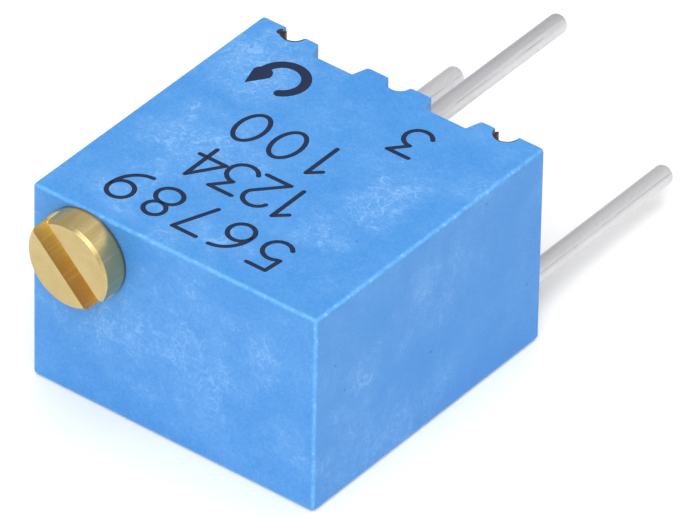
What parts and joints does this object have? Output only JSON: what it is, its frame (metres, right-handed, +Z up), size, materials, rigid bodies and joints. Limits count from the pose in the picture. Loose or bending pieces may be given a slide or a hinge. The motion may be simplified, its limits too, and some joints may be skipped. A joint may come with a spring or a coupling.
{
  "type": "multi-turn trimming potentiometer",
  "caption": "Square box-shaped multi-turn trimmer: a slotted side screw with a worm turns a wheel that sweeps a wiper over a printed track; round pins leave the far side.",
  "frame": {"origin": "centre of the case's large bottom face, which it rests on", "axes": "+Z up out of the bottom face, +Y from the screw face towards the pins, +X along the screw face to the right as seen from the screw"},
  "size_m": [0.0068, 0.0127, 0.0045],
  "materials": {
    "blue_moulding": "moulded, fine satin",
    "brass": "turned and polished",
    "black_rubber": "smooth",
    "clip_steel": "stamped",
    "wheel_moulding": "moulded",
    "spring_alloy": "rolled sheet",
    "alumina": "fired, matt",
    "cermet_film": "fired film",
    "conductor_film": "fired silver film",
    "tinned_wire": "dull tinned",
    "solder_alloy": "satin",
    "barrier_moulding": "moulded",
    "dark_resin": "cast"
  },
  "bodies": {
    "case": {"housing": "blue_moulding", "screw_retaining_clip": "clip_steel", "ceramic_substrate": "alumina", "resistive_track": "cermet_film", "collector_ring": "conductor_film", "end_pad_1": "conductor_film", "end_pad_3": "conductor_film", "terminal_1": "tinned_wire", "terminal_2": "tinned_wire", "terminal_3": "tinned_wire", "solder_1": "solder_alloy", "solder_2": "solder_alloy", "solder_3": "solder_alloy", "inner_barrier": "barrier_moulding", "potting_compound": "dark_resin"},
    "screw": {"adjusting_screw": "brass", "screw_o_ring": "black_rubber"},
    "wheel": {"worm_wheel": "wheel_moulding", "wiper_contact": "spring_alloy"}
  },
  "joints": [
    {"name": "screw_turn", "type": "hinge", "parent": "case", "child": "screw", "pos_m": [-0.00206, -0.00347, 0.00351], "axis": [0, 1, 0], "range_deg": [-2340, 2340]},
    {"name": "wheel_turn", "type": "hinge", "parent": "case", "child": "wheel", "pos_m": [0, -0.00081, 0.00351], "axis": [0, 0, 1], "range_deg": [-137.7, 137.7]}
  ],
  "couplings": [
    {"joint": "wheel_turn", "follows": "screw_turn", "ratio": 0.058824}
  ]
}
